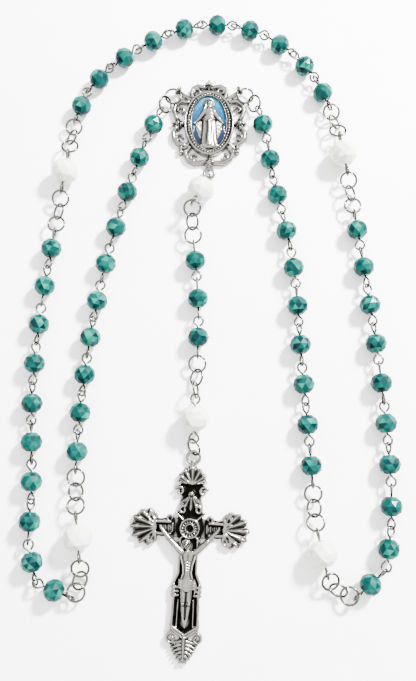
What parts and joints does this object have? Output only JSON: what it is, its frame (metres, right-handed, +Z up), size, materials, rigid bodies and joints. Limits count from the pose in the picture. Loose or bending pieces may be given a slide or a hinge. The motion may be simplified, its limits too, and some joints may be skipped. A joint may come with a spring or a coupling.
{
  "type": "rosary",
  "caption": "Rosary laid out flat: faceted glass beads on linked eye pins and split rings, openwork centrepiece with an enamelled field, pendant with a filigree crucifix",
  "frame": {"origin": "middle of the flat back of the centrepiece", "axes": "+Y from the crucifix to the head of the centrepiece, +Z up from the table towards the figure's face, +X to the right seen from the front"},
  "size_m": [0.1025, 0.1833, 0.0082],
  "materials": {
    "cast_silver": "polished silver casting with darkened recesses",
    "silver_wire": "polished silver-plated wire",
    "enamel": "translucent blue enamel, glossy",
    "teal_glass": "opaque turquoise glass with a lustre coat",
    "white_glass": "opaque white glass with a faint lustre"
  },
  "bodies": {
    "centrepiece": {"centrepiece": "cast_silver", "enamel": "enamel"},
    "ear_rings_right": {"ear_rings_right": "silver_wire"},
    "decade_1_upper": {"decade_1_upper_pins": "silver_wire", "decade_1_upper_beads": "teal_glass"},
    "decade_1_lower": {"decade_1_lower_pins": "silver_wire", "decade_1_lower_beads": "teal_glass"},
    "rings_decade_1_to_father_1": {"rings_decade_1_to_father_1": "silver_wire"},
    "father_1": {"father_1_pin": "silver_wire", "father_1_bead": "white_glass"},
    "rings_father_1_to_decade_2": {"rings_father_1_to_decade_2": "silver_wire"},
    "decade_2_lower": {"decade_2_lower_pins": "silver_wire", "decade_2_lower_beads": "teal_glass"},
    "decade_2_upper": {"decade_2_upper_pins": "silver_wire", "decade_2_upper_beads": "teal_glass"},
    "rings_decade_2_to_father_2": {"rings_decade_2_to_father_2": "silver_wire"},
    "father_2": {"father_2_pin": "silver_wire", "father_2_bead": "white_glass"},
    "rings_father_2_to_decade_3": {"rings_father_2_to_decade_3": "silver_wire"},
    "decade_3_right": {"decade_3_right_pins": "silver_wire", "decade_3_right_beads": "teal_glass"},
    "decade_3_left": {"decade_3_left_pins": "silver_wire", "decade_3_left_beads": "teal_glass"},
    "rings_decade_3_to_father_3": {"rings_decade_3_to_father_3": "silver_wire"},
    "father_3": {"father_3_pin": "silver_wire", "father_3_bead": "white_glass"},
    "rings_father_3_to_decade_4": {"rings_father_3_to_decade_4": "silver_wire"},
    "decade_4_upper": {"decade_4_upper_pins": "silver_wire", "decade_4_upper_beads": "teal_glass"},
    "decade_4_lower": {"decade_4_lower_pins": "silver_wire", "decade_4_lower_beads": "teal_glass"},
    "rings_decade_4_to_father_4": {"rings_decade_4_to_father_4": "silver_wire"},
    "father_4": {"father_4_pin": "silver_wire", "father_4_bead": "white_glass"},
    "rings_father_4_to_decade_5": {"rings_father_4_to_decade_5": "silver_wire"},
    "decade_5_lower": {"decade_5_lower_pins": "silver_wire", "decade_5_lower_beads": "teal_glass"},
    "decade_5_upper": {"decade_5_upper_pins": "silver_wire", "decade_5_upper_beads": "teal_glass"},
    "ear_rings_left": {"ear_rings_left": "silver_wire"},
    "pendant_father_1_pin": {"pendant_father_1_pin": "silver_wire"},
    "pendant_father_1_bead": {"pendant_father_1_bead": "white_glass"},
    "pendant_ring_1": {"pendant_ring_1": "silver_wire"},
    "pendant_ring_2": {"pendant_ring_2": "silver_wire"},
    "pendant_ring_3": {"pendant_ring_3": "silver_wire"},
    "pendant_hail_1_pin": {"pendant_hail_1_pin": "silver_wire"},
    "pendant_hail_1_bead": {"pendant_hail_1_bead": "teal_glass"},
    "pendant_hail_2_pin": {"pendant_hail_2_pin": "silver_wire"},
    "pendant_hail_2_bead": {"pendant_hail_2_bead": "teal_glass"},
    "pendant_hail_3_pin": {"pendant_hail_3_pin": "silver_wire"},
    "pendant_hail_3_bead": {"pendant_hail_3_bead": "teal_glass"},
    "pendant_ring_4": {"pendant_ring_4": "silver_wire"},
    "pendant_ring_5": {"pendant_ring_5": "silver_wire"},
    "pendant_ring_6": {"pendant_ring_6": "silver_wire"},
    "pendant_father_2_pin": {"pendant_father_2_pin": "silver_wire"},
    "pendant_father_2_bead": {"pendant_father_2_bead": "white_glass"},
    "crucifix_ring": {"crucifix_ring": "silver_wire"},
    "crucifix": {"crucifix": "cast_silver", "corpus": "cast_silver"}
  },
  "joints": [
    {"name": "fold_ears_right", "type": "hinge", "parent": "centrepiece", "child": "ear_rings_right", "pos_m": [0.00907, 0.00995, 0.0019], "axis": [-1, 0.0041, 0], "range_deg": [0, 50]},
    {"name": "fold_ears_left", "type": "hinge", "parent": "centrepiece", "child": "ear_rings_left", "pos_m": [-0.00903, 0.01002, 0.0019], "axis": [-1, 0.0041, 0], "range_deg": [0, 50]},
    {"name": "fold_ear_rings_right", "type": "hinge", "parent": "ear_rings_right", "child": "decade_1_upper", "pos_m": [0.01456, 0.00395, 0.0031], "axis": [0.9999, 0.011, 0], "range_deg": [-40, 20]},
    {"name": "fold_ear_rings_left", "type": "hinge", "parent": "ear_rings_left", "child": "decade_5_upper", "pos_m": [-0.01411, 0.00364, 0.0031], "axis": [0.9999, 0.011, 0], "range_deg": [-40, 20]},
    {"name": "fold_upper_halves_right", "type": "hinge", "parent": "decade_1_upper", "child": "decade_1_lower", "pos_m": [0.02439, -0.05009, 0.003], "axis": [-0.9993, 0.0363, 0], "range_deg": [-75, 75]},
    {"name": "fold_upper_halves_left", "type": "hinge", "parent": "decade_5_upper", "child": "decade_5_lower", "pos_m": [-0.03018, -0.04811, 0.003], "axis": [-0.9993, 0.0363, 0], "range_deg": [-75, 75]},
    {"name": "fold_lower_halves_right", "type": "hinge", "parent": "decade_1_lower", "child": "rings_decade_1_to_father_1", "pos_m": [0.02763, -0.10427, 0.00306], "axis": [0.9977, -0.0675, -0.0008], "range_deg": [-75, 75]},
    {"name": "fold_lower_halves_left", "type": "hinge", "parent": "decade_5_lower", "child": "rings_father_4_to_decade_5", "pos_m": [-0.03568, -0.09999, 0.00311], "axis": [0.9977, -0.0675, -0.0008], "range_deg": [-75, 75]},
    {"name": "fold_outer_fathers_top_right", "type": "hinge", "parent": "rings_decade_1_to_father_1", "child": "father_1", "pos_m": [0.02836, -0.11608, 0.00412], "axis": [-0.9977, 0.0672, 0], "range_deg": [-75, 75]},
    {"name": "fold_outer_fathers_top_left", "type": "hinge", "parent": "rings_father_4_to_decade_5", "child": "father_4", "pos_m": [-0.03517, -0.1118, 0.00412], "axis": [-0.9977, 0.0672, 0], "range_deg": [-75, 75]},
    {"name": "fold_outer_fathers_foot_right", "type": "hinge", "parent": "father_1", "child": "rings_father_1_to_decade_2", "pos_m": [0.0305, -0.12719, 0.00425], "axis": [0.9984, -0.0569, 0.0019], "range_deg": [-30, 30]},
    {"name": "fold_outer_fathers_foot_left", "type": "hinge", "parent": "father_4", "child": "rings_decade_4_to_father_4", "pos_m": [-0.03385, -0.12352, 0.00413], "axis": [0.9984, -0.0569, 0.0019], "range_deg": [-30, 30]},
    {"name": "fold_outer_turns_right", "type": "hinge", "parent": "rings_father_1_to_decade_2", "child": "decade_2_lower", "pos_m": [0.03867, -0.13328, 0.00312], "axis": [-1, -0.0044, 0], "range_deg": [-6, 6]},
    {"name": "fold_outer_turns_left", "type": "hinge", "parent": "rings_decade_4_to_father_4", "child": "decade_4_lower", "pos_m": [-0.03592, -0.13361, 0.00312], "axis": [-1, -0.0044, 0], "range_deg": [-6, 6]},
    {"name": "fold_outer_halves_right", "type": "hinge", "parent": "decade_2_lower", "child": "decade_2_upper", "pos_m": [0.04752, -0.08201, 0.003], "axis": [0.9979, 0.0655, 0], "range_deg": [-75, 75]},
    {"name": "fold_outer_halves_left", "type": "hinge", "parent": "decade_4_lower", "child": "decade_4_upper", "pos_m": [-0.04815, -0.08829, 0.003], "axis": [0.9979, 0.0655, 0], "range_deg": [-75, 75]},
    {"name": "fold_rising_halves_right", "type": "hinge", "parent": "decade_2_upper", "child": "rings_decade_2_to_father_2", "pos_m": [0.04138, -0.02808, 0.00306], "axis": [-0.9979, -0.0642, 0], "range_deg": [-75, 75]},
    {"name": "fold_rising_halves_left", "type": "hinge", "parent": "decade_4_upper", "child": "rings_father_3_to_decade_4", "pos_m": [-0.0438, -0.03356, 0.00306], "axis": [-0.9979, -0.0642, 0], "range_deg": [-75, 75]},
    {"name": "fold_inner_fathers_foot_right", "type": "hinge", "parent": "rings_decade_2_to_father_2", "child": "father_2", "pos_m": [0.0397, -0.01637, 0.00412], "axis": [0.9978, 0.0669, 0], "range_deg": [-75, 75]},
    {"name": "fold_inner_fathers_foot_left", "type": "hinge", "parent": "rings_father_3_to_decade_4", "child": "father_3", "pos_m": [-0.04208, -0.02185, 0.00412], "axis": [0.9978, 0.0669, 0], "range_deg": [-75, 75]},
    {"name": "fold_inner_fathers_top_right", "type": "hinge", "parent": "father_2", "child": "rings_father_2_to_decade_3", "pos_m": [0.0378, -0.00526, 0.00425], "axis": [-0.998, -0.0625, -0.0015], "range_deg": [-75, 75]},
    {"name": "fold_inner_fathers_top_left", "type": "hinge", "parent": "father_3", "child": "rings_decade_3_to_father_3", "pos_m": [-0.0405, -0.01016, 0.00413], "axis": [-0.998, -0.0625, -0.0015], "range_deg": [-75, 75]},
    {"name": "fold_top_decade_right", "type": "hinge", "parent": "rings_father_2_to_decade_3", "child": "decade_3_right", "pos_m": [0.03519, 0.00505, 0.00317], "axis": [0.9981, 0.0623, 0.0007], "range_deg": [-75, 75]},
    {"name": "fold_top_decade_left", "type": "hinge", "parent": "rings_decade_3_to_father_3", "child": "decade_3_left", "pos_m": [-0.03895, 0.00042, 0.00312], "axis": [0.9981, 0.0623, 0.0007], "range_deg": [-75, 75]},
    {"name": "pendant_father_1_lift", "type": "hinge", "parent": "centrepiece", "child": "pendant_father_1_pin", "pos_m": [0, -0.01705, 0.0012], "axis": [-0.9007, 0.4345, 0], "range_deg": [-60, 50]},
    {"name": "pendant_ring_1_lift", "type": "hinge", "parent": "pendant_father_1_pin", "child": "pendant_ring_1", "pos_m": [-0.00468, -0.02582, 0.00703], "axis": [0.9007, -0.4345, 0], "range_deg": [-60, 35]},
    {"name": "pendant_ring_2_lift", "type": "hinge", "parent": "pendant_ring_1", "child": "pendant_ring_2", "pos_m": [-0.0048, -0.02974, 0.00473], "axis": [-0.9995, 0.03, 0], "range_deg": [-22, 22]},
    {"name": "pendant_ring_3_lift", "type": "hinge", "parent": "pendant_ring_2", "child": "pendant_ring_3", "pos_m": [-0.00467, -0.03264, 0.00375], "axis": [0.9992, 0.0407, 0], "range_deg": [-22, 22]},
    {"name": "pendant_hail_1_lift", "type": "hinge", "parent": "pendant_ring_3", "child": "pendant_hail_1_pin", "pos_m": [-0.00436, -0.0371, 0.00293], "axis": [-0.9976, -0.0695, 0], "range_deg": [-60, 60]},
    {"name": "pendant_hail_2_lift", "type": "hinge", "parent": "pendant_hail_1_pin", "child": "pendant_hail_2_pin", "pos_m": [-0.00338, -0.04804, 0.003], "axis": [0.9961, 0.0885, 0], "range_deg": [-60, 60]},
    {"name": "pendant_hail_3_lift", "type": "hinge", "parent": "pendant_hail_2_pin", "child": "pendant_hail_3_pin", "pos_m": [-0.00288, -0.05833, 0.003], "axis": [-0.9989, -0.0476, 0], "range_deg": [-60, 60]},
    {"name": "pendant_ring_4_lift", "type": "hinge", "parent": "pendant_hail_3_pin", "child": "pendant_ring_4", "pos_m": [-0.00312, -0.06931, 0.00306], "axis": [0.9997, -0.0228, 0], "range_deg": [-60, 60]},
    {"name": "pendant_ring_5_lift", "type": "hinge", "parent": "pendant_ring_4", "child": "pendant_ring_5", "pos_m": [-0.00334, -0.07379, 0.00232], "axis": [-0.9988, 0.0483, 0], "range_deg": [-22, 22]},
    {"name": "pendant_ring_6_lift", "type": "hinge", "parent": "pendant_ring_5", "child": "pendant_ring_6", "pos_m": [-0.0035, -0.07688, 0.00252], "axis": [0.9986, -0.053, 0], "range_deg": [-3, 15]},
    {"name": "pendant_father_2_swing", "type": "hinge", "parent": "pendant_ring_6", "child": "pendant_father_2_pin", "pos_m": [-0.00371, -0.08074, 0.00493], "axis": [-0.0044, -0.1237, 0.9923], "range_deg": [-8, 8]},
    {"name": "pendant_crucifix_ring_lift", "type": "hinge", "parent": "pendant_father_2_pin", "child": "crucifix_ring", "pos_m": [-0.00414, -0.09316, 0.00315], "axis": [0.9994, -0.0352, 0], "range_deg": [-25, 12]},
    {"name": "pendant_crucifix_swing", "type": "hinge", "parent": "crucifix_ring", "child": "crucifix", "pos_m": [-0.00413, -0.09599, 0.0007], "axis": [0, 0, -1], "range_deg": [-20, 20]},
    {"name": "pendant_father_1_spin", "type": "hinge", "parent": "pendant_father_1_pin", "child": "pendant_father_1_bead", "pos_m": [-0.00239, -0.02158, 0.004], "axis": [-0.3872, -0.8025, 0.454], "continuous": true},
    {"name": "pendant_hail_1_spin", "type": "hinge", "parent": "pendant_hail_1_pin", "child": "pendant_hail_1_bead", "pos_m": [-0.0039, -0.04221, 0.003], "axis": [0.0885, -0.9961, 0], "continuous": true},
    {"name": "pendant_hail_2_spin", "type": "hinge", "parent": "pendant_hail_2_pin", "child": "pendant_hail_2_bead", "pos_m": [-0.00315, -0.05319, 0.003], "axis": [0.0476, -0.9989, 0], "continuous": true},
    {"name": "pendant_hail_3_spin", "type": "hinge", "parent": "pendant_hail_3_pin", "child": "pendant_hail_3_bead", "pos_m": [-0.00301, -0.06418, 0.003], "axis": [-0.0228, -0.9997, 0], "continuous": true},
    {"name": "pendant_father_2_spin", "type": "hinge", "parent": "pendant_father_2_pin", "child": "pendant_father_2_bead", "pos_m": [-0.00391, -0.08662, 0.00396], "axis": [-0.0349, -0.9917, -0.1238], "continuous": true}
  ],
  "couplings": [
    {"joint": "fold_ears_left", "follows": "fold_ears_right", "ratio": 1},
    {"joint": "fold_ear_rings_left", "follows": "fold_ear_rings_right", "ratio": 1},
    {"joint": "fold_upper_halves_left", "follows": "fold_upper_halves_right", "ratio": 1},
    {"joint": "fold_lower_halves_left", "follows": "fold_lower_halves_right", "ratio": 1},
    {"joint": "fold_outer_fathers_top_left", "follows": "fold_outer_fathers_top_right", "ratio": 1},
    {"joint": "fold_outer_fathers_foot_left", "follows": "fold_outer_fathers_foot_right", "ratio": 1},
    {"joint": "fold_outer_turns_left", "follows": "fold_outer_turns_right", "ratio": 1},
    {"joint": "fold_outer_halves_left", "follows": "fold_outer_halves_right", "ratio": 1},
    {"joint": "fold_rising_halves_left", "follows": "fold_rising_halves_right", "ratio": 1},
    {"joint": "fold_inner_fathers_foot_left", "follows": "fold_inner_fathers_foot_right", "ratio": 1},
    {"joint": "fold_inner_fathers_top_left", "follows": "fold_inner_fathers_top_right", "ratio": 1},
    {"joint": "fold_top_decade_left", "follows": "fold_top_decade_right", "ratio": 1}
  ]
}
